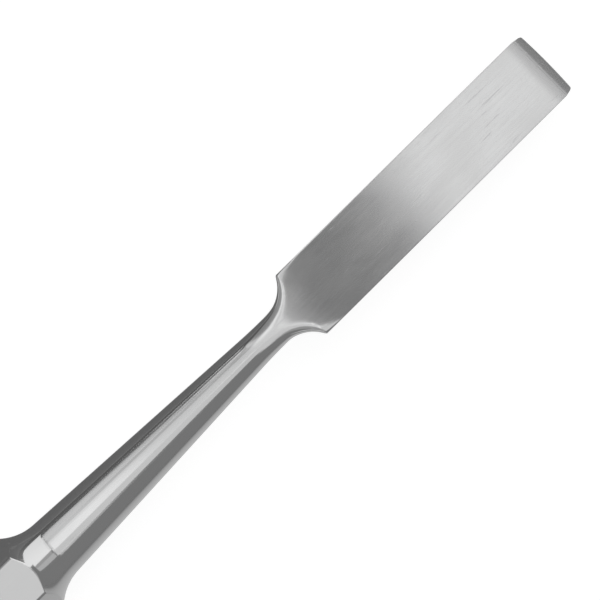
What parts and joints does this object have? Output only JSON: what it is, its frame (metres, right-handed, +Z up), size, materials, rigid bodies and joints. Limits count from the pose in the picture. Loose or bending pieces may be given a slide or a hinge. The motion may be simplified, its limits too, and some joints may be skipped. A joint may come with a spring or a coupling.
{
  "type": "bone chisel",
  "caption": "Straight bone chisel in one piece of steel: hexagonal handle to strike, round tapered shank, and a flat square-shouldered blade bevelled on one face.",
  "frame": {"origin": "on the ground under the middle of the length, between the struck end and the cutting edge", "axes": "+X along the handle's axis to the cutting edge, +Y across the blade, +Z up; the chisel lies on a flat of its handle with the bevel facing up"},
  "size_m": [0.205, 0.0154, 0.0134],
  "materials": {
    "steel": "satin-polished stainless steel, brushed along the handle and shank and across the blade"
  },
  "bodies": {
    "root": {"chisel": "steel"}
  },
  "joints": []
}
